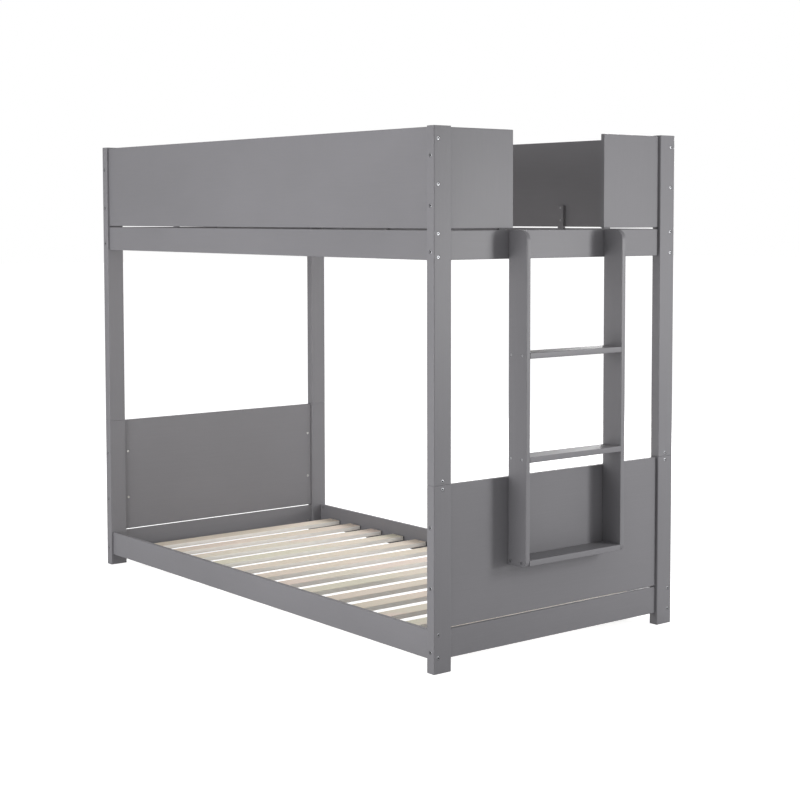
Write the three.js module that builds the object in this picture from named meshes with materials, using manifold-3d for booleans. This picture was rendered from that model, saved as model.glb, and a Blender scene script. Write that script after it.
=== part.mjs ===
import * as THREE from "three";
import { mergeVertices } from "three/addons/utils/BufferGeometryUtils.js";
import Module from "manifold-3d";

// A bunk bed of painted boards between eight half posts, with slats on ledgers and a ladder at its foot.
// Millimetres. +X runs from the head end to the foot end, +Y from the front long side to the back one, and
// +Z is up. The bed is laid out from its front head corner on the floor, and the group is moved at the end
// so that the origin lies on the floor under the middle of the whole, ladder included.

// ---- Driving dimensions ----

// Overall, over the posts
const BED_LENGTH = 2063.75;
const BED_WIDTH = 1035.05;
const BED_HEIGHT = 1644.65;

// Air left between two pieces that touch
const TOUCH = 0.3;

// Posts: a lower and an upper half that meet on a steel pin
const POST_THICK = 35; // along the bed
const POST_WIDE = 68; // across the bed
const POST_EDGE = 3.5; // radius of the long edges
const POST_EASE = 1; // chamfer round both ends
const LOWER_POST_HEIGHT = 571.5;
const PIN_BORE_RADIUS = 6.3;
const PIN_BORE_DEPTH = 38; // into each half

// Boards between the posts
const BOARD_THICK = 15;
const BOARD_SETBACK = 9.5; // outer face behind the post's outer face
const BOARD_EDGE = 2;
const FLOOR_GAP = 40; // under the lower rails
const BOARD_GAP = 5; // between one board and the next one up
const RAIL_HEIGHT = 88.9;
const GUARD_HEIGHT = 302;
const GUARD_DROP = 3; // guard's top below the post's top
const PANEL_DROP = 1.5; // end panel's top below the joint of the posts

// Bolts: each runs through a post into the end of a board and screws into a barrel nut there
const HEAD_BORE_RADIUS = 6.2;
const HEAD_BORE_DEPTH = 4.5;
const BOLT_BORE_RADIUS = 3.3;
const NUT_BORE_RADIUS = 5.1;
const NUT_BORE_DEPTH = 12; // from the board's inner face
const NUT_INSET = 17; // nut's axis from the end of its board
const BOLT_OVERRUN = 9; // bolt's bore goes on past the nut's axis
const JOINT_BOLT_OFFSET = 12; // above and below the joint of the posts

// Bolt levels, from the lower and from the upper edge of the board
const LONG_RAIL_BOLTS = { low: 9.5, high: 9.5 };
const END_RAIL_BOLTS = { low: 25 };
const LONG_GUARD_BOLTS = { low: 132, high: 35 };
const END_GUARD_BOLTS = { low: 68, high: 85 };
const PANEL_BOLTS = { low: 126, high: 126 };

// Slats and the ledgers that carry them
const LEDGER_THICK = 20;
const LEDGER_HEIGHT = 22.7;
const LEDGER_EDGE = 1.5;
const SLAT_COUNT = 13;
const SLAT_WIDE = 69;
const SLAT_THICK = 16;
const SLAT_EDGE = 1.5;
const SLAT_END_GAP = 6; // between a slat's end and the rail
const FIRST_SLAT = 146; // middle of the outermost slats from the ends of the bed

// Ladder
const LADDER_CLEAR_WIDTH = 394; // between the stringers, and between the two foot guards
const STRINGER_THICK = 17;
const STRINGER_DEEP = 83;
const STRINGER_TOP_RADIUS = 32; // front corners, seen from the side
const STRINGER_FOOT_RADIUS = 20;
const STRINGER_BACK_RADIUS = 3;
const LADDER_EDGE = 2;
const LADDER_EASE = 1.5;
const TREAD_SCREW_BACK = 12; // from a stringer's back and front edges
const TREAD_SCREW_FRONT = 20;
const TREAD_SCREW_RADIUS = 4.6; // the sink of a screw's head
const TREAD_SCREW_SINK = 1.4;
const LADDER_FOOT = 295; // stringers' lower ends above the floor
const SHELF_RISE = 4; // shelf's underside above the stringers' lower ends
const SHELF_DEEP = 82;
const STEP_THICK = 18.5;
const STEP_RISE = 321;
const RUNG_NAMES = ["ladder_rung_lower", "ladder_rung_upper"];
const RUNG_DEEP = 76;

// Sides of round holes, and curve segments of an eased edge, each of which gives two facets
const HEAD_BORE_SIDES = 16;
const NUT_BORE_SIDES = 12;
const BOLT_BORE_SIDES = 6;
const POST_EDGE_SEGMENTS = 2;
const STRINGER_SEGMENTS = 4;
const BOARD_EDGE_SEGMENTS = 1;
const CUT_PAST = 1; // how far a cutter stands out of the face that it opens

// ---- Places that follow from them ----

const bedMiddle = BED_WIDTH / 2;
const boardCentre = BOARD_SETBACK + BOARD_THICK / 2;
const boardInner = BOARD_SETBACK + BOARD_THICK;

// A band of boards at one level all round the bed.
function tier(bottom, height) {
  return { bottom, top: bottom + height };
}

// The levels of one board's bolts.
function levels(band, insets) {
  const found = [];
  if (insets.low !== undefined) found.push(band.bottom + insets.low);
  if (insets.high !== undefined) found.push(band.top - insets.high);
  return found;
}

const lowerRail = tier(FLOOR_GAP, RAIL_HEIGHT);
const panelBottom = lowerRail.top + BOARD_GAP;
const panel = tier(panelBottom, LOWER_POST_HEIGHT - PANEL_DROP - panelBottom);
const guard = tier(BED_HEIGHT - GUARD_DROP - GUARD_HEIGHT, GUARD_HEIGHT);
const upperRail = tier(guard.bottom - BOARD_GAP - RAIL_HEIGHT, RAIL_HEIGHT);

// The two ends and the two sides: where each one's outer face lies, and which way is inwards.
const HEAD = { name: "head", face: 0, inward: 1 };
const FOOT = { name: "foot", face: BED_LENGTH, inward: -1 };
const FRONT = { name: "front", face: 0, inward: 1 };
const BACK = { name: "back", face: BED_WIDTH, inward: -1 };
const ENDS = [HEAD, FOOT];
const SIDES = [FRONT, BACK];

// The coordinate that lies a distance inwards from an end's or a side's outer face.
function inside(edge, distance) {
  return edge.face + edge.inward * distance;
}

const paint = new THREE.MeshStandardMaterial({ color: 0x87888b, roughness: 0.5, metalness: 0 });
const pine = new THREE.MeshStandardMaterial({ color: 0xdccdb0, roughness: 0.75, metalness: 0 });

// ---- Solids ----

const wasm = await Module();
wasm.setup();

function solidOf(geometry) {
  const bare = geometry.clone();
  bare.deleteAttribute("normal");
  bare.deleteAttribute("uv");
  const merged = mergeVertices(bare);
  const vertProperties = merged.getAttribute("position").array;
  const triVerts = new Uint32Array(merged.index.array);
  return new wasm.Manifold(new wasm.Mesh({ numProp: 3, vertProperties, triVerts }));
}

function geometryOf(solid) {
  const mesh = solid.getMesh();
  const geometry = new THREE.BufferGeometry();
  geometry.setAttribute("position", new THREE.BufferAttribute(mesh.vertProperties, mesh.numProp));
  geometry.setIndex(new THREE.BufferAttribute(mesh.triVerts, 1));
  geometry.computeVertexNormals();
  return geometry;
}

// A rectangle about the origin with round corners. Its radii run anticlockwise from the first quadrant.
function roundedRectangle(wide, high, [first, second, third, fourth]) {
  const x = wide / 2;
  const y = high / 2;
  const quarter = Math.PI / 2;
  const shape = new THREE.Shape();
  shape.absarc(x - first, y - first, first, 0, quarter);
  shape.absarc(second - x, y - second, second, quarter, 2 * quarter);
  shape.absarc(third - x, third - y, third, 2 * quarter, 3 * quarter);
  shape.absarc(x - fourth, fourth - y, fourth, 3 * quarter, 4 * quarter);
  shape.closePath();
  return shape;
}

// How the two axes of a section and the way that it is extruded turn into X, Y and Z.
const AXES = {
  x: new THREE.Matrix4().set(0, 0, 1, 0, 1, 0, 0, 0, 0, 1, 0, 0, 0, 0, 0, 1),
  y: new THREE.Matrix4().set(0, 1, 0, 0, 0, 0, 1, 0, 1, 0, 0, 0, 0, 0, 0, 1),
  z: new THREE.Matrix4(),
};

// A straight bar about the origin that fills size, with eased long edges, and eased ends where asked.
function barGeometry(size, along, edge) {
  const section = { x: [size.y, size.z], y: [size.z, size.x], z: [size.x, size.y] }[along];
  const ease = edge.ease ?? 0;
  const radii = edge.radii ?? Array(4).fill(edge.radius);
  const geometry = new THREE.ExtrudeGeometry(roundedRectangle(...section, radii), {
    depth: size[along] - 2 * ease,
    curveSegments: edge.segments,
    bevelEnabled: ease > 0,
    bevelThickness: ease,
    bevelSize: ease,
    bevelOffset: -ease,
    bevelSegments: 1,
  });
  geometry.translate(0, 0, ease - size[along] / 2);
  return geometry.applyMatrix4(AXES[along]);
}

// A round cutter from one point to another.
function cutter(from, to, radius, sides) {
  const way = to.clone().sub(from);
  const geometry = new THREE.CylinderGeometry(radius, radius, way.length(), sides);
  const turn = new THREE.Quaternion().setFromUnitVectors(new THREE.Vector3(0, 1, 0), way.normalize());
  geometry.applyQuaternion(turn);
  const middle = from.clone().add(to).divideScalar(2);
  return geometry.translate(middle.x, middle.y, middle.z);
}

// A mesh between two opposite corners, with its cutters taken out.
function bar(name, low, high, along, edge, material, cutters = []) {
  const size = high.clone().sub(low);
  const centre = low.clone().add(high).divideScalar(2);
  let geometry = barGeometry(size, along, edge);
  if (cutters.length) {
    let solid = solidOf(geometry);
    for (const cut of cutters) {
      const local = cut.translate(-centre.x, -centre.y, -centre.z);
      solid = solid.subtract(solidOf(local));
    }
    geometry = geometryOf(solid);
  }
  const mesh = new THREE.Mesh(geometry, material);
  mesh.name = name;
  mesh.position.copy(centre);
  return mesh;
}

// The same, from two coordinates on each axis in either order.
function barBetween(name, xs, ys, zs, along, edge, material, cutters) {
  const low = new THREE.Vector3(Math.min(...xs), Math.min(...ys), Math.min(...zs));
  const high = new THREE.Vector3(Math.max(...xs), Math.max(...ys), Math.max(...zs));
  return bar(name, low, high, along, edge, material, cutters);
}

const EDGES = {
  post: { radius: POST_EDGE, segments: POST_EDGE_SEGMENTS, ease: POST_EASE },
  board: { radius: BOARD_EDGE, segments: BOARD_EDGE_SEGMENTS },
  ledger: { radius: LEDGER_EDGE, segments: BOARD_EDGE_SEGMENTS },
  slat: { radius: SLAT_EDGE, segments: BOARD_EDGE_SEGMENTS },
  tread: { radius: LADDER_EDGE, segments: BOARD_EDGE_SEGMENTS },
  stringer: {
    radii: [STRINGER_TOP_RADIUS, STRINGER_FOOT_RADIUS, STRINGER_BACK_RADIUS, STRINGER_BACK_RADIUS],
    segments: STRINGER_SEGMENTS,
    ease: LADDER_EASE,
  },
};

// ---- Holes ----

// A stepped hole for a bolt and its head. point(distance) gives the place at a distance into the post.
function boltHole(point, depth) {
  return [
    cutter(point(-CUT_PAST), point(HEAD_BORE_DEPTH), HEAD_BORE_RADIUS, HEAD_BORE_SIDES),
    cutter(point(-CUT_PAST), point(depth), BOLT_BORE_RADIUS, BOLT_BORE_SIDES),
  ];
}

// From a post's end face, along the bed.
function holeAlong(end, y, z, depth) {
  return boltHole((distance) => new THREE.Vector3(inside(end, distance), y, z), depth);
}

// From a post's side face, across the bed.
function holeAcross(side, x, z, depth) {
  return boltHole((distance) => new THREE.Vector3(x, inside(side, distance), z), depth);
}

// The bolt holes of a post at one end and one side, for the boards at these levels.
function postHoles(end, side, longLevels, endLevels) {
  const y = inside(side, boardCentre);
  const x = inside(end, boardCentre);
  const along = longLevels.flatMap((z) => holeAlong(end, y, z, POST_THICK + CUT_PAST));
  const across = endLevels.flatMap((z) => holeAcross(side, x, z, POST_WIDE + CUT_PAST));
  return [...along, ...across];
}

// The pin's bore and the joint bolt's hole in one half post. upward is 1 where the bore goes up.
function jointHoles(end, side, upward) {
  const x = inside(end, POST_THICK / 2);
  const y = inside(side, POST_WIDE / 2);
  const from = new THREE.Vector3(x, y, LOWER_POST_HEIGHT - upward * CUT_PAST);
  const to = new THREE.Vector3(x, y, LOWER_POST_HEIGHT + upward * PIN_BORE_DEPTH);
  const level = LOWER_POST_HEIGHT + upward * JOINT_BOLT_OFFSET;
  const bore = cutter(from, to, PIN_BORE_RADIUS, HEAD_BORE_SIDES);
  return [bore, ...holeAlong(end, y, level, POST_THICK / 2)];
}

// A long board's bores at one end: the bolt's along the board, the nut's from the inner face.
function longBoardHoles(end, side, boltLevels) {
  const y = inside(side, boardCentre);
  const nutX = inside(end, POST_THICK + TOUCH + NUT_INSET);
  return boltLevels.flatMap((z) => {
    const boltFrom = new THREE.Vector3(inside(end, POST_THICK), y, z);
    const boltTo = new THREE.Vector3(nutX + end.inward * BOLT_OVERRUN, y, z);
    const nutFrom = new THREE.Vector3(nutX, inside(side, boardInner + CUT_PAST), z);
    const nutTo = new THREE.Vector3(nutX, inside(side, boardInner - NUT_BORE_DEPTH), z);
    return [
      cutter(boltFrom, boltTo, BOLT_BORE_RADIUS, BOLT_BORE_SIDES),
      cutter(nutFrom, nutTo, NUT_BORE_RADIUS, NUT_BORE_SIDES),
    ];
  });
}

// An end board's bores at one side, the same way.
function endBoardHoles(end, side, boltLevels) {
  const x = inside(end, boardCentre);
  const nutY = inside(side, POST_WIDE + TOUCH + NUT_INSET);
  return boltLevels.flatMap((z) => {
    const boltFrom = new THREE.Vector3(x, inside(side, POST_WIDE), z);
    const boltTo = new THREE.Vector3(x, nutY + side.inward * BOLT_OVERRUN, z);
    const nutFrom = new THREE.Vector3(inside(end, boardInner + CUT_PAST), nutY, z);
    const nutTo = new THREE.Vector3(inside(end, boardInner - NUT_BORE_DEPTH), nutY, z);
    return [
      cutter(boltFrom, boltTo, BOLT_BORE_RADIUS, BOLT_BORE_SIDES),
      cutter(nutFrom, nutTo, NUT_BORE_RADIUS, NUT_BORE_SIDES),
    ];
  });
}

// ---- Posts ----

function posts(end, side) {
  const xs = [end.face, inside(end, POST_THICK)];
  const ys = [side.face, inside(side, POST_WIDE)];
  const lowerHoles = [
    ...postHoles(
      end,
      side,
      levels(lowerRail, LONG_RAIL_BOLTS),
      [...levels(lowerRail, END_RAIL_BOLTS), ...levels(panel, PANEL_BOLTS)],
    ),
    ...jointHoles(end, side, -1),
  ];
  const upperHoles = [
    ...postHoles(
      end,
      side,
      [...levels(upperRail, LONG_RAIL_BOLTS), ...levels(guard, LONG_GUARD_BOLTS)],
      [...levels(upperRail, END_RAIL_BOLTS), ...levels(guard, END_GUARD_BOLTS)],
    ),
    ...jointHoles(end, side, 1),
  ];
  const corner = `${end.name}_${side.name}`;
  const lowerSpan = [0, LOWER_POST_HEIGHT];
  const upperSpan = [LOWER_POST_HEIGHT + TOUCH, BED_HEIGHT];
  return [
    barBetween(`lower_post_${corner}`, xs, ys, lowerSpan, "z", EDGES.post, paint, lowerHoles),
    barBetween(`upper_post_${corner}`, xs, ys, upperSpan, "z", EDGES.post, paint, upperHoles),
  ];
}

// ---- Boards ----

// A board along one side of the bed, from post to post.
function longBoard(name, side, band, bolts) {
  const ys = [inside(side, BOARD_SETBACK), inside(side, boardInner)];
  const xs = ENDS.map((end) => inside(end, POST_THICK + TOUCH));
  const holes = ENDS.flatMap((end) => longBoardHoles(end, side, levels(band, bolts)));
  return barBetween(name, xs, ys, [band.bottom, band.top], "x", EDGES.board, paint, holes);
}

// A board across one end of the bed, from post to post.
function endBoard(name, end, band, bolts) {
  const xs = [inside(end, BOARD_SETBACK), inside(end, boardInner)];
  const ys = SIDES.map((side) => inside(side, POST_WIDE + TOUCH));
  const holes = SIDES.flatMap((side) => endBoardHoles(end, side, levels(band, bolts)));
  return barBetween(name, xs, ys, [band.bottom, band.top], "y", EDGES.board, paint, holes);
}

// A short guard from a foot post to the side of the ladder's way in.
function footGuard(side) {
  const xs = [inside(FOOT, BOARD_SETBACK), inside(FOOT, boardInner)];
  const ys = [inside(side, POST_WIDE + TOUCH), bedMiddle - side.inward * (LADDER_CLEAR_WIDTH / 2)];
  const holes = endBoardHoles(FOOT, side, levels(guard, END_GUARD_BOLTS));
  const zs = [guard.bottom, guard.top];
  return barBetween(`guard_foot_${side.name}`, xs, ys, zs, "y", EDGES.board, paint, holes);
}

function boards() {
  const made = [];
  for (const side of SIDES) {
    made.push(longBoard(`lower_rail_${side.name}`, side, lowerRail, LONG_RAIL_BOLTS));
    made.push(longBoard(`upper_rail_${side.name}`, side, upperRail, LONG_RAIL_BOLTS));
    made.push(longBoard(`guard_${side.name}`, side, guard, LONG_GUARD_BOLTS));
    made.push(footGuard(side));
  }
  for (const end of ENDS) {
    made.push(endBoard(`lower_rail_${end.name}`, end, lowerRail, END_RAIL_BOLTS));
    made.push(endBoard(`upper_rail_${end.name}`, end, upperRail, END_RAIL_BOLTS));
    made.push(endBoard(`panel_${end.name}`, end, panel, PANEL_BOLTS));
  }
  made.push(endBoard("guard_head", HEAD, guard, END_GUARD_BOLTS));
  return made;
}

// ---- Slat decks ----

// A batten along the foot of a long rail's inner face.
function ledger(name, side, rail) {
  const xs = ENDS.map((end) => inside(end, POST_THICK + TOUCH));
  const ys = [inside(side, boardInner + TOUCH), inside(side, boardInner + TOUCH + LEDGER_THICK)];
  const zs = [rail.bottom, rail.bottom + LEDGER_HEIGHT];
  return barBetween(name, xs, ys, zs, "x", EDGES.ledger, paint);
}

// One slat, whose number runs from 0 at the head end.
function slat(name, number, rail) {
  const pitch = (BED_LENGTH - 2 * FIRST_SLAT) / (SLAT_COUNT - 1);
  const middle = FIRST_SLAT + number * pitch;
  const bottom = rail.bottom + LEDGER_HEIGHT + TOUCH;
  const xs = [middle - SLAT_WIDE / 2, middle + SLAT_WIDE / 2];
  const ys = SIDES.map((side) => inside(side, boardInner + SLAT_END_GAP));
  return barBetween(name, xs, ys, [bottom, bottom + SLAT_THICK], "y", EDGES.slat, pine);
}

function deck(level, rail) {
  const made = SIDES.map((side) => ledger(`${level}_ledger_${side.name}`, side, rail));
  for (let number = 0; number < SLAT_COUNT; number++) {
    const label = String(number + 1).padStart(2, "0");
    made.push(slat(`${level}_slat_${label}`, number, rail));
  }
  return made;
}

// ---- Ladder ----

const ladderBack = inside(FOOT, BOARD_SETBACK - TOUCH);
const ladderFront = ladderBack + STRINGER_DEEP;
const shelfBottom = LADDER_FOOT + SHELF_RISE;
const rungBottoms = RUNG_NAMES.map((_, index) => shelfBottom + (index + 1) * STEP_RISE);

// The sinks of the screws that go through a stringer into the ends of the treads.
function treadScrewSinks(side, outerY) {
  const xs = [ladderBack + TREAD_SCREW_BACK, ladderFront - TREAD_SCREW_FRONT];
  return [shelfBottom, ...rungBottoms].flatMap((bottom) => {
    const z = bottom + STEP_THICK / 2;
    return xs.map((x) => {
      const from = new THREE.Vector3(x, outerY - side.inward * CUT_PAST, z);
      const to = new THREE.Vector3(x, outerY + side.inward * TREAD_SCREW_SINK, z);
      return cutter(from, to, TREAD_SCREW_RADIUS, HEAD_BORE_SIDES);
    });
  });
}

function stringer(side) {
  const innerY = bedMiddle - side.inward * (LADDER_CLEAR_WIDTH / 2);
  const outerY = innerY - side.inward * STRINGER_THICK;
  const xs = [ladderBack, ladderFront];
  const zs = [LADDER_FOOT, upperRail.top];
  const name = `ladder_stringer_${side.name}`;
  const sinks = treadScrewSinks(side, outerY);
  return barBetween(name, xs, [innerY, outerY], zs, "y", EDGES.stringer, paint, sinks);
}

// A tread between the stringers, flush with their front edges.
function step(name, bottom, deep) {
  const half = LADDER_CLEAR_WIDTH / 2 - TOUCH;
  const xs = [ladderFront - deep, ladderFront];
  const ys = [bedMiddle - half, bedMiddle + half];
  return barBetween(name, xs, ys, [bottom, bottom + STEP_THICK], "y", EDGES.tread, paint);
}

function ladder() {
  const shelf = step("ladder_shelf", shelfBottom, SHELF_DEEP);
  const rungs = RUNG_NAMES.map((name, index) => step(name, rungBottoms[index], RUNG_DEEP));
  return [...SIDES.map(stringer), shelf, ...rungs];
}

// ---- The whole bed ----

function groupOf(meshes) {
  const group = new THREE.Group();
  group.add(...meshes);
  return group;
}

const bed = new THREE.Group();
bed.add(groupOf(ENDS.flatMap((end) => SIDES.flatMap((side) => posts(end, side)))));
bed.add(groupOf(boards()));
bed.add(groupOf(deck("lower", lowerRail)));
bed.add(groupOf(deck("upper", upperRail)));
bed.add(groupOf(ladder()));
bed.position.set(-ladderFront / 2, -bedMiddle, 0);

const part = new THREE.Group();
part.add(bed);

export default part;
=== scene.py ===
import math

import bmesh
import bpy
from mathutils import Matrix, Vector

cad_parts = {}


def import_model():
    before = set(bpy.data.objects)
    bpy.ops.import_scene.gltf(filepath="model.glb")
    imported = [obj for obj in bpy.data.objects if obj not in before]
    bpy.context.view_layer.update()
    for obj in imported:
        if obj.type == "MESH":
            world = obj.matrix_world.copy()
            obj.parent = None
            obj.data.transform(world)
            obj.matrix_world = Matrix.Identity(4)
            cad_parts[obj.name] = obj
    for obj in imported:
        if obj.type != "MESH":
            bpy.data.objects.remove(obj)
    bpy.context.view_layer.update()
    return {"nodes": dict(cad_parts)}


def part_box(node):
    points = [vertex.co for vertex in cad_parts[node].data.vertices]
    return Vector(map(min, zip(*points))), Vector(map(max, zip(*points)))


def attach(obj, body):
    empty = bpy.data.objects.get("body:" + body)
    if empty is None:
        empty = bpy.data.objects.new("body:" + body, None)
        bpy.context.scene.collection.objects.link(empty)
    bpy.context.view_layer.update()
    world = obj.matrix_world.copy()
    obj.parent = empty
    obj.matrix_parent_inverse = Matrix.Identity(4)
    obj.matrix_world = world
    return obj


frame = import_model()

# The looks of a bunk bed: painted boards, bare pine slats, plated bolts, barrel nuts and screws.
# Metres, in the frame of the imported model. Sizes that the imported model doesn't hold are named here.

MM = 0.001
NODES = frame["nodes"]
X, Y, Z = Vector((1, 0, 0)), Vector((0, 1, 0)), Vector((0, 0, 1))
ENDS = {"head": -1, "foot": 1}
SIDES = {"front": -1, "back": 1}

# Heights of the bolts in their boards, up from the lower edge or, if negative, down from the upper edge
LONG_RAIL_BOLTS = (9.5 * MM, -9.5 * MM)
END_RAIL_BOLTS = (25 * MM,)
LONG_GUARD_BOLTS = (132 * MM, -35 * MM)
END_GUARD_BOLTS = (68 * MM, -85 * MM)
PANEL_BOLTS = (126 * MM, -126 * MM)

# Bolts with a flat head and a hexagon socket
BOLT_HEAD_RADIUS = 5.5 * MM
BOLT_HEAD_HEIGHT = 3.4 * MM
BOLT_HEAD_SUNK = 0.5 * MM
BOLT_EASE = 0.8 * MM
BOLT_EASE_ANGLES = (90, 60, 30, 0)
BOLT_SOCKET_FLATS = 5 * MM
BOLT_SOCKET_DEPTH = 3 * MM
BOLT_SOCKET_RIM = 0.25 * MM
BOLT_RADIUS = 2.9 * MM
BOLT_TIP_LENGTH = 1 * MM
BOLT_TIP_TAPER = 0.8 * MM

# Barrel nuts with a screwdriver slot
NUT_INSET = 17 * MM
NUT_RADIUS = 4.9 * MM
NUT_LENGTH = 11 * MM
NUT_SUNK = 0.5 * MM
NUT_EASE = 0.5 * MM
NUT_SLOT_LENGTH = 6.4 * MM
NUT_SLOT_WIDTH = 1.3 * MM
NUT_SLOT_DEPTH = 1.1 * MM

# Pins in the joints of the posts, with one bolt above each joint and one below it
PIN_RADIUS = 6 * MM
PIN_REACH = 37 * MM
PIN_EASE = 1 * MM
JOINT_BOLT_OFFSET = 12 * MM

# Countersunk screws. The mouth and the bottom of the cross recess are each a length and a width.
SCREW_HEAD_RADIUS = 3.9 * MM
SCREW_HEAD_EASE = 0.25 * MM
SCREW_RIM_HEIGHT = 0.3 * MM
SCREW_HEAD_HEIGHT = 2.4 * MM
SCREW_RECESS_MOUTH = (4.4 * MM, 1.1 * MM)
SCREW_RECESS_MOUTH_DEPTH = 0.05 * MM
SCREW_RECESS_BOTTOM = (1.6 * MM, 0.6 * MM)
SCREW_RECESS_DEPTH = 1.5 * MM
SCREW_RADIUS = 1.9 * MM
SCREW_TIP_LENGTH = 3 * MM
SCREW_TIP_RADIUS = 0.3 * MM
SCREW_PROUD = 0.25 * MM

# Battens that tie the guards to the upper rails. Their screws are measured down from the batten's top, for
# those in the guard, and from the rail's top.
BATTEN_WIDE = 28 * MM
BATTEN_THICK = 12 * MM
BATTEN_EDGE = 1.5 * MM
BATTEN_EDGE_SEGMENTS = 3
BATTEN_RISE = 76 * MM
BATTEN_CLEAR = 1.5 * MM
BATTEN_GAPS = (3, 10)
BATTEN_FREE_END_INSET = 30 * MM
BATTEN_SCREWS_GUARD = (9 * MM, 53 * MM)
BATTEN_SCREWS_RAIL = (13 * MM, 46 * MM)
BATTEN_SCREW_LENGTH = 24 * MM
BATTEN_PAINT_VARIANT = 1

# Screws of the slats and of the ladder. Heights of the ladder's fixings are measured as the bolts' are.
SLAT_SCREW_INSET = 9 * MM
SLAT_SCREW_LENGTH = 28 * MM
TREADS = ("ladder_shelf", "ladder_rung_lower", "ladder_rung_upper")
TREAD_SCREW_BACK = 12 * MM
TREAD_SCREW_FRONT = 20 * MM
TREAD_SCREW_SUNK = 0.6 * MM
TREAD_SCREW_LENGTH = 45 * MM
LADDER_FIXINGS = {"upper_rail_foot": (22 * MM, -22 * MM), "panel_foot": (-60 * MM, -180 * MM)}
LADDER_FIXING_LENGTH = 50 * MM

# Meshes
RING_SIDES = 24
SPIN_STEP = math.radians(137.5)
FASTENER_SHARP_ANGLE = math.radians(35)
PART_SHARP_ANGLE = math.radians(50)
WELD_DISTANCE = 0.01 * MM
NEARLY_ZERO = 1e-6

# Paint and metal
PAINT_DARK = (0.179, 0.176, 0.187)
PAINT_LIGHT = (0.204, 0.200, 0.213)
PAINT_VARIANTS = 3
PAINT_VARIANT_STEP = (1.7, 2.3, 0.9)
ZINC_COLOUR = (0.38, 0.385, 0.40)
# Painted shade: a near-black colour for the floors and walls of sockets, slots and cross recesses
RECESS_PAINTED_SHADE_COLOUR = (0.05, 0.05, 0.055)
NUT_COLOUR = (0.45, 0.45, 0.43)
SCREW_COLOUR = (0.60, 0.61, 0.63)
DULL_SHARE = 0.6

# Pine. The upright faces of a slat, its edges and ends, are painted paler than its flat faces, as painted
# light.
PINE_PALE = [(0.79, 0.70, 0.61), (0.76, 0.69, 0.58), (0.81, 0.70, 0.62), (0.74, 0.71, 0.59)]
PINE_RING = [(0.57, 0.47, 0.37), (0.55, 0.45, 0.34), (0.60, 0.46, 0.39), (0.52, 0.48, 0.34)]
PINE_KNOT = (0.26, 0.15, 0.075)
# Painted light: the colour and share screened onto a slat's upright faces, so that they look lit as well as
# its top
PINE_PAINTED_LIGHT = (1.0, 0.93, 0.84)
EDGE_PAINTED_LIGHT_GAIN = 0.8
PINE_VARIANTS = 8
PINE_VARIANT_STEP = (0.37, 1.9, 0.011)
PINE_NEXT_SLAT = 5

# Floor, sky and camera
FLOOR_HALF = 40.0
FLOOR_DARK = (0.62, 0.62, 0.62)
FLOOR_LIGHT = (0.64, 0.64, 0.64)
FLOOR_GLOW = 0.78
AMBIENT = 0.53
WHITE = 1.0
CAMERA_PLACE = (4.7709, -3.5735, 1.3738)
CAMERA_AZIMUTH = math.radians(50.883)
CAMERA_PITCH = math.radians(3.584)
CAMERA_LENS = 73.91
CAMERA_SENSOR = 36
CAMERA_SHIFT = (-0.0471, -0.10)
CAMERA_FAR = 200


# ---- Meshes ----

def add_object(name, mesh, material):
    """A piece that rides on the bed."""
    piece = bpy.data.objects.new(name, mesh)
    bpy.context.scene.collection.objects.link(piece)
    mesh.materials.append(material)
    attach(piece, "root")
    return piece


def outline(reach, height):
    """A ring about the Z axis whose radius at each angle is reach(angle)."""
    angles = [2 * math.pi * k / RING_SIDES for k in range(RING_SIDES)]
    return [Vector((reach(a) * math.cos(a), reach(a) * math.sin(a), height)) for a in angles]


def circle(radius, height):
    return outline(lambda angle: radius, height)


def hexagon(across_flats):
    def reach(angle):
        turned = (angle % (math.pi / 3)) - math.pi / 6
        return across_flats / 2 / math.cos(turned)
    return reach


def slot_shape(length, width):
    def reach(angle):
        along = abs(math.cos(angle))
        across = abs(math.sin(angle))
        return min(length / 2 / max(along, NEARLY_ZERO), width / 2 / max(across, NEARLY_ZERO))
    return reach


def cross_shape(length, width):
    one = slot_shape(length, width)

    def reach(angle):
        return max(one(angle), one(angle + math.pi / 2))
    return reach


def loft(bm, rings, place):
    """Joins rings from first to last and closes both ends.

    The first end and the wall next to it take the mesh's second material, which is painted shade.
    """
    made = [[bm.verts.new(place @ point) for point in ring] for ring in rings]
    for level, (ring, following) in enumerate(zip(made, made[1:])):
        for k in range(RING_SIDES):
            n = (k + 1) % RING_SIDES
            wall = bm.faces.new((ring[k], following[k], following[n], ring[n]))
            wall.material_index = 0 if level else 1
    bm.faces.new(made[0]).material_index = 1
    bm.faces.new(list(reversed(made[-1])))


def bolt_rings(length):
    """A flat-head bolt with a hexagon socket, head up, its top at the origin."""
    ease = [
        circle(BOLT_HEAD_RADIUS + BOLT_EASE * (math.cos(a) - 1), BOLT_EASE * (math.sin(a) - 1))
        for a in (math.radians(d) for d in BOLT_EASE_ANGLES)
    ]
    return [
        outline(hexagon(BOLT_SOCKET_FLATS), -BOLT_SOCKET_DEPTH),
        outline(hexagon(BOLT_SOCKET_FLATS), -BOLT_SOCKET_RIM),
        outline(hexagon(BOLT_SOCKET_FLATS + 2 * BOLT_SOCKET_RIM), 0),
        *ease,
        circle(BOLT_HEAD_RADIUS, -BOLT_HEAD_HEIGHT),
        circle(BOLT_RADIUS, -BOLT_HEAD_HEIGHT),
        circle(BOLT_RADIUS, -length + BOLT_TIP_LENGTH),
        circle(BOLT_RADIUS - BOLT_TIP_TAPER, -length),
    ]


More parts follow.
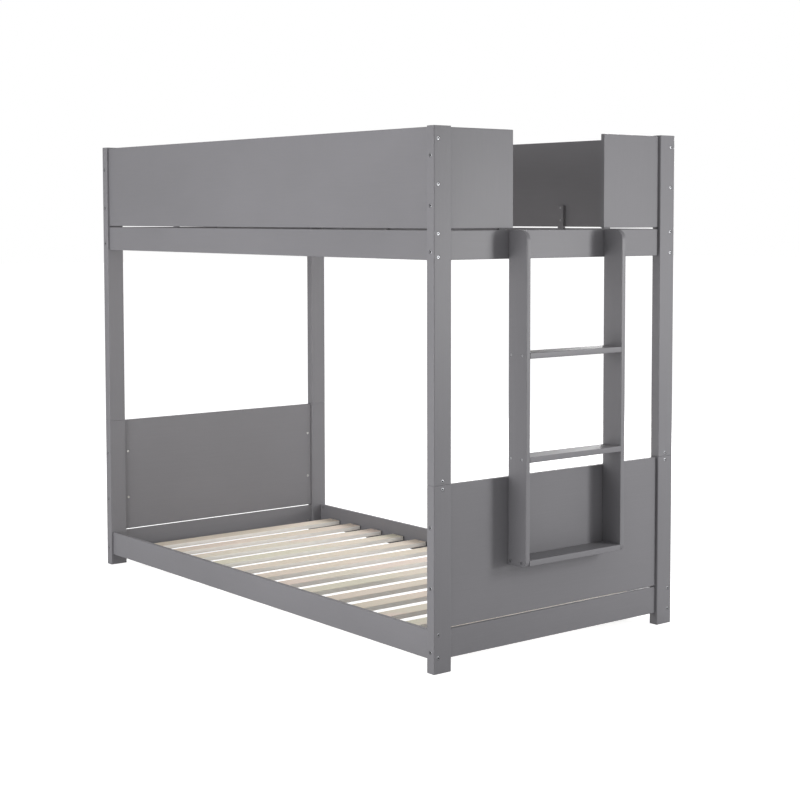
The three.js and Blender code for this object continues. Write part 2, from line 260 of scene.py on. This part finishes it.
def nut_rings():
    """A barrel nut with a slot in its face, which is at the origin."""
    slot = slot_shape(NUT_SLOT_LENGTH, NUT_SLOT_WIDTH)
    return [
        outline(slot, -NUT_SLOT_DEPTH),
        outline(slot, 0),
        circle(NUT_RADIUS - NUT_EASE, 0),
        circle(NUT_RADIUS, -NUT_EASE),
        circle(NUT_RADIUS, -NUT_LENGTH + NUT_EASE),
        circle(NUT_RADIUS - NUT_EASE, -NUT_LENGTH),
    ]


def screw_rings(length):
    """A countersunk screw with a cross recess, its flat top at the origin."""
    return [
        outline(cross_shape(*SCREW_RECESS_BOTTOM), -SCREW_RECESS_DEPTH),
        outline(cross_shape(*SCREW_RECESS_MOUTH), -SCREW_RECESS_MOUTH_DEPTH),
        circle(SCREW_HEAD_RADIUS - SCREW_HEAD_EASE, 0),
        circle(SCREW_HEAD_RADIUS, -SCREW_RIM_HEIGHT),
        circle(SCREW_RADIUS, -SCREW_HEAD_HEIGHT),
        circle(SCREW_RADIUS, -length + SCREW_TIP_LENGTH),
        circle(SCREW_TIP_RADIUS, -length),
    ]


def pin_rings():
    """A plain pin with eased ends, its middle at the origin."""
    return [
        circle(PIN_RADIUS - PIN_EASE, PIN_REACH),
        circle(PIN_RADIUS, PIN_REACH - PIN_EASE),
        circle(PIN_RADIUS, PIN_EASE - PIN_REACH),
        circle(PIN_RADIUS - PIN_EASE, -PIN_REACH),
    ]


def facing(point, outward, spin):
    """Stands a fastener at a point with its top facing outward, turned about its own axis."""
    turn = Z.rotation_difference(outward).to_matrix().to_4x4()
    return Matrix.Translation(point) @ turn @ Matrix.Rotation(spin, 4, "Z")


def spins(points_and_ways):
    """Places for fasteners, each with its own turn, as a screwdriver leaves it."""
    return [facing(point, way, SPIN_STEP * k) for k, (point, way) in enumerate(points_and_ways)]


def fasteners(name, rings, places, material):
    """One object that holds a fastener at each place. The first end of its rings is painted dark, as painted
    shade in its recess.
    """
    bm = bmesh.new()
    for place in places:
        loft(bm, rings, place)
    bmesh.ops.recalc_face_normals(bm, faces=bm.faces)
    mesh = bpy.data.meshes.new(name)
    bm.to_mesh(mesh)
    bm.free()
    mesh.shade_smooth()
    mesh.set_sharp_from_angle(angle=FASTENER_SHARP_ANGLE)
    add_object(name, mesh, material)
    # The second material is painted shade for the recesses.
    mesh.materials.append(PAINTED_SHADE_RECESS)


def eased_bar(name, low, high, material):
    """A straight bar between two corners, with rounded edges."""
    bm = bmesh.new()
    bmesh.ops.create_cube(bm, size=1)
    size = high - low
    middle = (high + low) / 2
    for vert in bm.verts:
        vert.co = Vector((vert.co.x * size.x, vert.co.y * size.y, vert.co.z * size.z)) + middle
    bmesh.ops.bevel(
        bm, geom=bm.edges[:], offset=BATTEN_EDGE, segments=BATTEN_EDGE_SEGMENTS, profile=0.5, affect="EDGES"
    )
    mesh = bpy.data.meshes.new(name)
    bm.to_mesh(mesh)
    bm.free()
    mesh.shade_smooth()
    piece = add_object(name, mesh, material)
    piece.modifiers.new("even_normals", "WEIGHTED_NORMAL").keep_sharp = True


# ---- Materials ----

class Shader:
    """A material's node tree, with short calls to add and join nodes."""

    def __init__(self, name):
        self.material = bpy.data.materials.new(name)
        self.material.use_nodes = True
        self.tree = self.material.node_tree
        self.tree.nodes.clear()
        self.surface = self.add("ShaderNodeBsdfPrincipled")
        output = self.add("ShaderNodeOutputMaterial")
        self.tree.links.new(self.surface.outputs["BSDF"], output.inputs["Surface"])

    def add(self, kind, inputs=None, **settings):
        node = self.tree.nodes.new(kind)
        for key, value in settings.items():
            setattr(node, key, value)
        for key, value in (inputs or {}).items():
            self.put(node.inputs[key], value)
        return node

    def put(self, socket, value):
        """Joins a socket to another node's, or sets it to a plain value."""
        if isinstance(value, bpy.types.NodeSocket):
            self.tree.links.new(value, socket)
        else:
            socket.default_value = value

    def place(self, scale=(1, 1, 1), offset=(0, 0, 0)):
        """The object's own coordinates in metres, scaled and moved."""
        where = self.add("ShaderNodeTexCoord")
        moved = self.add(
            "ShaderNodeMapping",
            {"Vector": where.outputs["Object"], "Scale": scale, "Location": offset},
        )
        return moved.outputs["Vector"]

    def noise(self, place, scale, detail=2.0, roughness=0.5):
        inputs = {"Vector": place, "Scale": scale, "Detail": detail, "Roughness": roughness}
        return self.add("ShaderNodeTexNoise", inputs).outputs["Fac"]

    def span(self, value, low, high, from_low=0.0, from_high=1.0):
        """Turns the range from_low to from_high into low to high, and goes no further."""
        inputs = {
            "Value": value,
            "From Min": from_low,
            "From Max": from_high,
            "To Min": low,
            "To Max": high,
        }
        return self.add("ShaderNodeMapRange", inputs).outputs["Result"]

    def ramp(self, value, stops):
        """Turns a value into a colour, by two stops of position and colour."""
        node = self.add("ShaderNodeValToRGB", {"Fac": value})
        for element, (position, colour) in zip(node.color_ramp.elements, stops):
            element.position = position
            element.color = (*colour, 1)
        return node.outputs["Color"]

    def mix(self, amount, first, second, blend="MIX"):
        node = self.add("ShaderNodeMix", data_type="RGBA", blend_type=blend)
        self.put(node.inputs["Factor"], amount)
        for socket, value in zip([s for s in node.inputs if s.type == "RGBA"], (first, second)):
            self.put(socket, value if isinstance(value, bpy.types.NodeSocket) else (*value, 1))
        return [s for s in node.outputs if s.type == "RGBA"][0]

    def maths(self, operation, first, second=0.0):
        node = self.add("ShaderNodeMath", operation=operation)
        self.put(node.inputs[0], first)
        self.put(node.inputs[1], second)
        return node.outputs[0]

    def bump(self, height, strength, distance, below=None):
        inputs = {"Height": height, "Strength": strength, "Distance": distance}
        if below is not None:
            inputs["Normal"] = below
        return self.add("ShaderNodeBump", inputs).outputs["Normal"]

    def set(self, **inputs):
        """Sets the surface's sockets and gives the material."""
        for key, value in inputs.items():
            self.put(self.surface.inputs[key.replace("_", " ")], value)
        return self.material


def variant_offset(variant, step):
    """Moves a pattern by a step for each variant, so that each shows another piece of it."""
    return tuple(part * variant for part in step)


def paint(axis, variant):
    """Satin grey paint on a board whose grain runs along axis."""
    shader = Shader(f"paint_{axis}_{variant}")
    offset = variant_offset(variant, PAINT_VARIANT_STEP)

    def drawn_out(scale):
        """Coordinates that draw a pattern out along the grain."""
        return shader.place(tuple(scale if name == axis else 1.0 for name in "xyz"), offset)

    cloud = shader.noise(drawn_out(0.5), scale=3.0, detail=3.0)
    grain = shader.noise(drawn_out(0.03), scale=260.0, detail=4.0, roughness=0.6)
    peel = shader.noise(shader.place(offset=offset), scale=620.0)
    cloud_part = shader.maths("MULTIPLY", cloud, 0.75)
    grain_part = shader.maths("MULTIPLY", grain, 0.25)
    tone = shader.maths("ADD", cloud_part, grain_part)
    colour = shader.ramp(tone, [(0.3, PAINT_DARK), (0.7, PAINT_LIGHT)])
    peel_and_cloud = shader.maths("ADD", peel, cloud)
    rough = shader.span(peel_and_cloud, low=0.42, high=0.58, from_low=0.6, from_high=1.4)
    normal = shader.bump(grain, strength=0.2, distance=0.1 * MM)
    normal = shader.bump(peel, strength=0.25, distance=0.08 * MM, below=normal)
    shader.set(Base_Color=colour, Roughness=rough, Normal=normal)
    return shader.set(IOR=1.5, Specular_IOR_Level=0.32, Coat_Weight=0.08, Coat_Roughness=0.3)


def year_rings(shader, offset):
    """Bands across a slat that wander, as the year rings of a plain sawn board do."""
    place = shader.place((1, 0.07, 1), offset)
    wander = shader.noise(place, scale=9.0)
    inputs = {
        "Vector": place,
        "Scale": 34.0,
        "Distortion": 7.0,
        "Detail": 2.0,
        "Detail Scale": 0.35,
        "Phase Offset": shader.span(wander, low=0.0, high=9.0),
    }
    wave = shader.add(
        "ShaderNodeTexWave", inputs, wave_type="BANDS", bands_direction="X", wave_profile="SAW"
    )
    return wave.outputs["Fac"]


def knots(shader, offset):
    """Is 1 inside a knot and 0 outside it."""
    inputs = {"Vector": shader.place((6.5, 2.1, 6.5), offset), "Scale": 1.0, "Randomness": 1.0}
    distance = shader.add("ShaderNodeTexVoronoi", inputs).outputs["Distance"]
    return shader.span(distance, low=1.0, high=0.0, from_low=0.035, from_high=0.075)


def upright_faces_painted_light(shader):
    """Is above 0 on the faces that stand upright, a slat's edges and ends, which take painted light."""
    normal = shader.add("ShaderNodeTexCoord").outputs["Normal"]
    upward = shader.add("ShaderNodeSeparateXYZ", {"Vector": normal}).outputs["Z"]
    flatness = shader.maths("ABSOLUTE", upward)
    return shader.span(flatness, low=EDGE_PAINTED_LIGHT_GAIN, high=0.0, from_low=0.2, from_high=0.8)


def pine(variant):
    """Bare planed pine whose grain runs across the bed."""
    shader = Shader(f"pine_{variant}")
    offset = variant_offset(variant, PINE_VARIANT_STEP)
    pale = PINE_PALE[variant % len(PINE_PALE)]
    next_pale = PINE_PALE[(variant + 1) % len(PINE_PALE)]
    ring = PINE_RING[variant % len(PINE_RING)]

    rings = year_rings(shader, offset)
    fibre = shader.noise(shader.place((1, 0.02, 1), offset), scale=900.0, detail=3.0, roughness=0.65)
    stain = shader.noise(shader.place((1, 0.4, 1), offset), scale=7.0, detail=1.0)
    stained = shader.span(stain, low=0.0, high=1.0, from_low=0.42, from_high=0.58)
    ringed = shader.span(rings, low=0.0, high=0.62, from_low=0.35, from_high=1.0)
    fibred = shader.span(fibre, low=0.0, high=0.3, from_low=0.45, from_high=0.75)
    wood = shader.mix(stained, pale, next_pale)
    wood = shader.mix(ringed, wood, ring)
    wood = shader.mix(fibred, wood, ring)
    wood = shader.mix(shader.maths("MULTIPLY", knots(shader, offset), 0.75), wood, PINE_KNOT)
    # Painted light: the upright faces are screened paler, as if lit as well as the tops.
    wood = shader.mix(upright_faces_painted_light(shader), wood, PINE_PAINTED_LIGHT, blend="SCREEN")

    rough = shader.span(fibre, low=0.6, high=0.78, from_low=0.3, from_high=0.7)
    normal = shader.bump(rings, strength=0.25, distance=0.2 * MM)
    normal = shader.bump(fibre, strength=0.5, distance=0.15 * MM, below=normal)
    return shader.set(Base_Color=wood, Roughness=rough, Normal=normal, Specular_IOR_Level=0.3)


def metal(name, colour, smoothest, roughest):
    """Steel with fine turning marks and duller clouds."""
    shader = Shader(name)
    marks = shader.noise(shader.place(), scale=2400.0, detail=3.0)
    cloud = shader.noise(shader.place(), scale=160.0)
    dull = tuple(DULL_SHARE * part for part in colour)
    tint = shader.mix(shader.span(cloud, low=0.0, high=0.35), colour, dull)
    rough = shader.span(marks, low=smoothest, high=roughest)
    normal = shader.bump(marks, strength=0.3, distance=0.03 * MM)
    return shader.set(Base_Color=tint, Roughness=rough, Normal=normal, Metallic=1.0)


PAINTS = {axis: [paint(axis, k) for k in range(PAINT_VARIANTS)] for axis in "xyz"}
PINES = [pine(k) for k in range(PINE_VARIANTS)]
ZINC = metal("bright_zinc", ZINC_COLOUR, smoothest=0.32, roughest=0.48)
# Painted shade: near-black steel in the sockets, slots and cross recesses of the fasteners.
PAINTED_SHADE_RECESS = metal("recess_painted_shade", RECESS_PAINTED_SHADE_COLOUR, smoothest=0.45, roughest=0.65)
NUT_STEEL = metal("barrel_nut_steel", NUT_COLOUR, smoothest=0.28, roughest=0.46)
SCREW_STEEL = metal("screw_steel", SCREW_COLOUR, smoothest=0.25, roughest=0.42)


# ---- CAD nodes: even normals and a material each ----

def smoothing_group():
    """A modifier tree that shades a part smooth except across its real corners."""
    tree = bpy.data.node_groups.new("smooth_by_angle", "GeometryNodeTree")
    tree.interface.new_socket("Geometry", in_out="INPUT", socket_type="NodeSocketGeometry")
    tree.interface.new_socket("Geometry", in_out="OUTPUT", socket_type="NodeSocketGeometry")
    inward = tree.nodes.new("NodeGroupInput")
    outward = tree.nodes.new("NodeGroupOutput")
    faces = tree.nodes.new("GeometryNodeSetShadeSmooth")
    faces.domain = "FACE"
    angle = tree.nodes.new("GeometryNodeInputMeshEdgeAngle")
    gentle = tree.nodes.new("FunctionNodeCompare")
    gentle.data_type = "FLOAT"
    gentle.operation = "LESS_THAN"
    gentle.inputs["B"].default_value = PART_SHARP_ANGLE
    edges = tree.nodes.new("GeometryNodeSetShadeSmooth")
    edges.domain = "EDGE"
    link = tree.links.new
    link(inward.outputs["Geometry"], faces.inputs["Geometry"])
    link(faces.outputs["Geometry"], edges.inputs["Geometry"])
    link(angle.outputs["Unsigned Angle"], gentle.inputs["A"])
    link(gentle.outputs["Result"], edges.inputs["Shade Smooth"])
    link(edges.outputs["Geometry"], outward.inputs["Geometry"])
    return tree


SMOOTHING = smoothing_group()


def dress(name, material):
    """Evens a part's normals and gives it its material."""
    node = NODES[name]
    node.modifiers.new("weld", "WELD").merge_threshold = WELD_DISTANCE
    node.modifiers.new("smooth", "NODES").node_group = SMOOTHING
    node.modifiers.new("even_normals", "WEIGHTED_NORMAL").keep_sharp = True
    node.material_slots[0].material = material


def grain_axis(name):
    """The axis of a node's longest side."""
    low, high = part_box(name)
    size = high - low
    return "xyz"[max(range(3), key=lambda k: size[k])]


for index, node_name in enumerate(sorted(NODES)):
    if "_slat_" in node_name:
        dress(node_name, PINES[(PINE_NEXT_SLAT * index) % PINE_VARIANTS])
    else:
        dress(node_name, PAINTS[grain_axis(node_name)][index % PAINT_VARIANTS])


# ---- Places on the parts ----

def middle_of(name):
    low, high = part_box(name)
    return (low + high) / 2


def far_and_near(low, high, way):
    """A box's far coordinate and its near one on one axis, for a way of 1 or -1 along it."""
    return (high, low) if way > 0 else (low, high)


def levels(name, insets):
    """Heights on a board, up from its lower edge or, where negative, down from its upper edge."""
    low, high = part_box(name)
    return [(low.z if inset > 0 else high.z) + inset for inset in insets]


# ---- Bolts, barrel nuts and pins ----

def sunk_bolts(points, way):
    """Places for bolts that face along way, with their heads a little below points on a face."""
    return spins([(point - BOLT_HEAD_SUNK * way, way) for point in points])


def corner_hardware(end, side):
    """The bolts and nuts of one corner of the bed, and the pin of its posts."""
    corner = f"{end}_{side}"
    end_way, side_way = ENDS[end] * X, SIDES[side] * Y
    low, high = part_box(f"lower_post_{corner}")
    upper_low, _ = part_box(f"upper_post_{corner}")
    outer_x, inner_x = far_and_near(low.x, high.x, ENDS[end])
    outer_y, inner_y = far_and_near(low.y, high.y, SIDES[side])
    post_thick, post_wide = high.x - low.x, high.y - low.y
    long_rail, end_rail = f"lower_rail_{side}", f"lower_rail_{end}"
    end_guard = "guard_head" if end == "head" else f"guard_foot_{side}"
    long_levels = [
        *levels(long_rail, LONG_RAIL_BOLTS),
        *levels(f"upper_rail_{side}", LONG_RAIL_BOLTS),
        *levels(f"guard_{side}", LONG_GUARD_BOLTS),
    ]
    end_levels = [
        *levels(end_rail, END_RAIL_BOLTS),
        *levels(f"panel_{end}", PANEL_BOLTS),
        *levels(f"upper_rail_{end}", END_RAIL_BOLTS),
        *levels(end_guard, END_GUARD_BOLTS),
    ]

    board_x, board_y = middle_of(end_rail).x, middle_of(long_rail).y
    along_bed = sunk_bolts([Vector((outer_x, board_y, z)) for z in long_levels], end_way)
    across_bed = sunk_bolts([Vector((board_x, outer_y, z)) for z in end_levels], side_way)
    reach = NUT_INSET + NUT_RADIUS
    fasteners(f"long_bolts_{corner}", bolt_rings(post_thick + reach), along_bed, ZINC)
    fasteners(f"end_bolts_{corner}", bolt_rings(post_wide + reach), across_bed, ZINC)

    end_rail_low, end_rail_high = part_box(end_rail)
    long_rail_low, long_rail_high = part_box(long_rail)
    _, face_x = far_and_near(end_rail_low.x, end_rail_high.x, ENDS[end])
    _, face_y = far_and_near(long_rail_low.y, long_rail_high.y, SIDES[side])
    nut_x = inner_x - ENDS[end] * NUT_INSET
    nut_y = inner_y - SIDES[side] * NUT_INSET
    nuts = [(Vector((nut_x, face_y, z)) + NUT_SUNK * side_way, -side_way) for z in long_levels]
    nuts += [(Vector((face_x, nut_y, z)) + NUT_SUNK * end_way, -end_way) for z in end_levels]
    fasteners(f"barrel_nuts_{corner}", nut_rings(), spins(nuts), NUT_STEEL)

    middle = (low + high) / 2
    joint = (high.z + upper_low.z) / 2
    joint_levels = (joint - JOINT_BOLT_OFFSET, joint + JOINT_BOLT_OFFSET)
    joint_bolts = sunk_bolts([Vector((outer_x, middle.y, z)) for z in joint_levels], end_way)
    fasteners(f"joint_bolts_{corner}", bolt_rings(post_thick / 2), joint_bolts, ZINC)
    pin_place = Matrix.Translation(Vector((middle.x, middle.y, joint)))
    fasteners(f"post_pin_{corner}", pin_rings(), [pin_place], NUT_STEEL)


for end_name in ENDS:
    for side_name in SIDES:
        corner_hardware(end_name, side_name)


# ---- Battens behind the guards ----

def batten(name, guard, rail, place, way):
    """A batten on the inner faces of a guard and its rail, at a place along them.

    way points into the bed. Gives the places of the batten's screws.
    """
    low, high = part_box(guard)
    _, ledger_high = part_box("upper_ledger_front")
    bottom, top = ledger_high.z + BATTEN_CLEAR, low.z + BATTEN_RISE
    width = (place - BATTEN_WIDE / 2, place + BATTEN_WIDE / 2)
    if way.x:
        face, _ = far_and_near(low.x, high.x, way.x)
        xs, ys = sorted((face, face + way.x * BATTEN_THICK)), width
    else:
        face, _ = far_and_near(low.y, high.y, way.y)
        xs, ys = width, sorted((face, face + way.y * BATTEN_THICK))
    corner_low, corner_high = Vector((xs[0], ys[0], bottom)), Vector((xs[1], ys[1], top))
    eased_bar(name, corner_low, corner_high, PAINTS["z"][BATTEN_PAINT_VARIANT])

    rail_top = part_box(rail)[1].z
    centre = (corner_low + corner_high) / 2
    screw = centre + way * (BATTEN_THICK / 2 + SCREW_PROUD)
    heights = [top - z for z in BATTEN_SCREWS_GUARD] + [rail_top - z for z in BATTEN_SCREWS_RAIL]
    return [(Vector((screw.x, screw.y, z)), way) for z in heights]


def slat_gap(before):
    """The middle of the gap after the upper slat of this number."""
    first, second = middle_of(f"upper_slat_{before:02d}"), middle_of(f"upper_slat_{before + 1:02d}")
    return (first.x + second.x) / 2


def battens():
    """Two behind each long guard, one behind each foot guard and one behind the head guard."""
    screws = []
    for side, way in SIDES.items():
        guard, rail = f"guard_{side}", f"upper_rail_{side}"
        for number, gap in enumerate(BATTEN_GAPS, 1):
            screws += batten(f"guard_batten_{side}_{number}", guard, rail, slat_gap(gap), -way * Y)
        foot_guard = f"guard_foot_{side}"
        low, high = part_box(foot_guard)
        _, free_end = far_and_near(low.y, high.y, way)
        place = free_end + way * BATTEN_FREE_END_INSET
        screws += batten(f"guard_batten_foot_{side}", foot_guard, "upper_rail_foot", place, -X)
    middle = middle_of("guard_head").y
    screws += batten("guard_batten_head", "guard_head", "upper_rail_head", middle, X)
    return screws


fasteners("batten_screws", screw_rings(BATTEN_SCREW_LENGTH), spins(battens()), SCREW_STEEL)


# ---- Screws of the slats and of the ladder ----

def slat_screws(level):
    """One screw in each end of each slat of a deck."""
    places = []
    for name in sorted(NODES):
        if not name.startswith(f"{level}_slat_"):
            continue
        low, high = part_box(name)
        x = (low.x + high.x) / 2
        for y in (low.y + SLAT_SCREW_INSET, high.y - SLAT_SCREW_INSET):
            places.append((Vector((x, y, high.z + SCREW_PROUD)), Z))
    return places


def tread_screws():
    """Two screws through each stringer into each end of each tread."""
    places = []
    for side, way in SIDES.items():
        low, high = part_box(f"ladder_stringer_{side}")
        face, _ = far_and_near(low.y, high.y, way)
        for tread in TREADS:
            z = middle_of(tread).z
            for x in (low.x + TREAD_SCREW_BACK, high.x - TREAD_SCREW_FRONT):
                places.append((Vector((x, face - way * TREAD_SCREW_SUNK, z)), way * Y))
    return places


def ladder_fixings():
    """Screws from inside the bed through the foot rail and the foot panel into the stringers."""
    places = []
    for side in SIDES:
        y = middle_of(f"ladder_stringer_{side}").y
        for board, insets in LADDER_FIXINGS.items():
            inner_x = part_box(board)[0].x
            places += [(Vector((inner_x - SCREW_PROUD, y, z)), -X) for z in levels(board, insets)]
    return places


for level_name in ("lower", "upper"):
    places = spins(slat_screws(level_name))
    fasteners(f"{level_name}_slat_screws", screw_rings(SLAT_SCREW_LENGTH), places, ZINC)
fasteners("tread_screws", screw_rings(TREAD_SCREW_LENGTH), spins(tread_screws()), SCREW_STEEL)
fasteners("ladder_fixings", screw_rings(LADDER_FIXING_LENGTH), spins(ladder_fixings()), ZINC)


# ---- Floor, light and camera ----

def floor():
    """A plain white floor that looks as white as the sky where no shadow falls."""
    bm = bmesh.new()
    bmesh.ops.create_grid(bm, x_segments=1, y_segments=1, size=FLOOR_HALF)
    mesh = bpy.data.meshes.new("floor")
    bm.to_mesh(mesh)
    bm.free()
    shader = Shader("pale_floor")
    mottle = shader.noise(shader.place(), scale=2.0)
    colour = shader.ramp(mottle, [(0.3, FLOOR_DARK), (0.7, FLOOR_LIGHT)])
    seen = shader.add("ShaderNodeLightPath").outputs["Is Camera Ray"]
    glow = shader.maths("MULTIPLY", seen, FLOOR_GLOW)
    shader.set(Emission_Color=(1, 1, 1, 1), Emission_Strength=glow)
    mesh.materials.append(shader.set(Base_Color=colour, Roughness=0.8, Specular_IOR_Level=0.1))
    ground = bpy.data.objects.new("floor", mesh)
    bpy.context.scene.collection.objects.link(ground)


def world():
    """Even light from all round, and a white sky where the camera sees past the floor."""
    sky = bpy.data.worlds.new("studio")
    sky.use_nodes = True
    tree = sky.node_tree
    background = tree.nodes["Background"]
    background.inputs["Color"].default_value = (1, 1, 1, 1)
    seen = tree.nodes.new("ShaderNodeLightPath")
    strength = tree.nodes.new("ShaderNodeMapRange")
    strength.inputs["To Min"].default_value = AMBIENT
    strength.inputs["To Max"].default_value = WHITE
    tree.links.new(seen.outputs["Is Camera Ray"], strength.inputs["Value"])
    tree.links.new(strength.outputs["Result"], background.inputs["Strength"])
    bpy.context.scene.world = sky


def softbox(name, place, target, size, power):
    """A square lamp at a place, turned to a target."""
    lamp = bpy.data.lights.new(name, "AREA")
    lamp.shape = "SQUARE"
    lamp.size = size
    lamp.energy = power
    holder = bpy.data.objects.new(name, lamp)
    holder.location = place
    holder.rotation_euler = (Vector(place) - Vector(target)).to_track_quat("Z", "Y").to_euler()
    bpy.context.scene.collection.objects.link(holder)


def camera():
    """Stands off the near foot corner and looks a little down."""
    lens = bpy.data.cameras.new("camera")
    lens.lens = CAMERA_LENS
    lens.sensor_width = CAMERA_SENSOR
    lens.shift_x, lens.shift_y = CAMERA_SHIFT
    lens.clip_end = CAMERA_FAR
    holder = bpy.data.objects.new("camera", lens)
    holder.location = CAMERA_PLACE
    holder.rotation_euler = (math.radians(90) - CAMERA_PITCH, 0, CAMERA_AZIMUTH)
    bpy.context.scene.collection.objects.link(holder)
    bpy.context.scene.camera = holder


floor()
world()
softbox("key", place=(6.5, 4.2, 0.9), target=(0.9, 0.0, 0.9), size=0.9, power=102)
softbox("key_near", place=(2.9, 1.42, 1.2), target=(0.9, 0.0, 1.2), size=0.6, power=16)
softbox("key_high", place=(3.4, 2.0, 1.9), target=(0.9, 0.0, 1.2), size=0.6, power=7)
softbox("front_fill", place=(0.2, -4.0, 0.8), target=(-0.1, 0.0, 0.7), size=2.5, power=118)
softbox("low_fill", place=(-0.6, -5.0, 0.2), target=(-0.2, 0.0, 0.3), size=2.0, power=22)
softbox("back_rim", place=(-1.7, 4.2, 2.6), target=(-0.4, 0.0, 0.1), size=2.0, power=166)
softbox("back_low", place=(0.5, 4.5, 1.6), target=(0.0, 0.0, 0.1), size=2.0, power=32)
camera()
bpy.context.scene.view_settings.view_transform = "Standard"
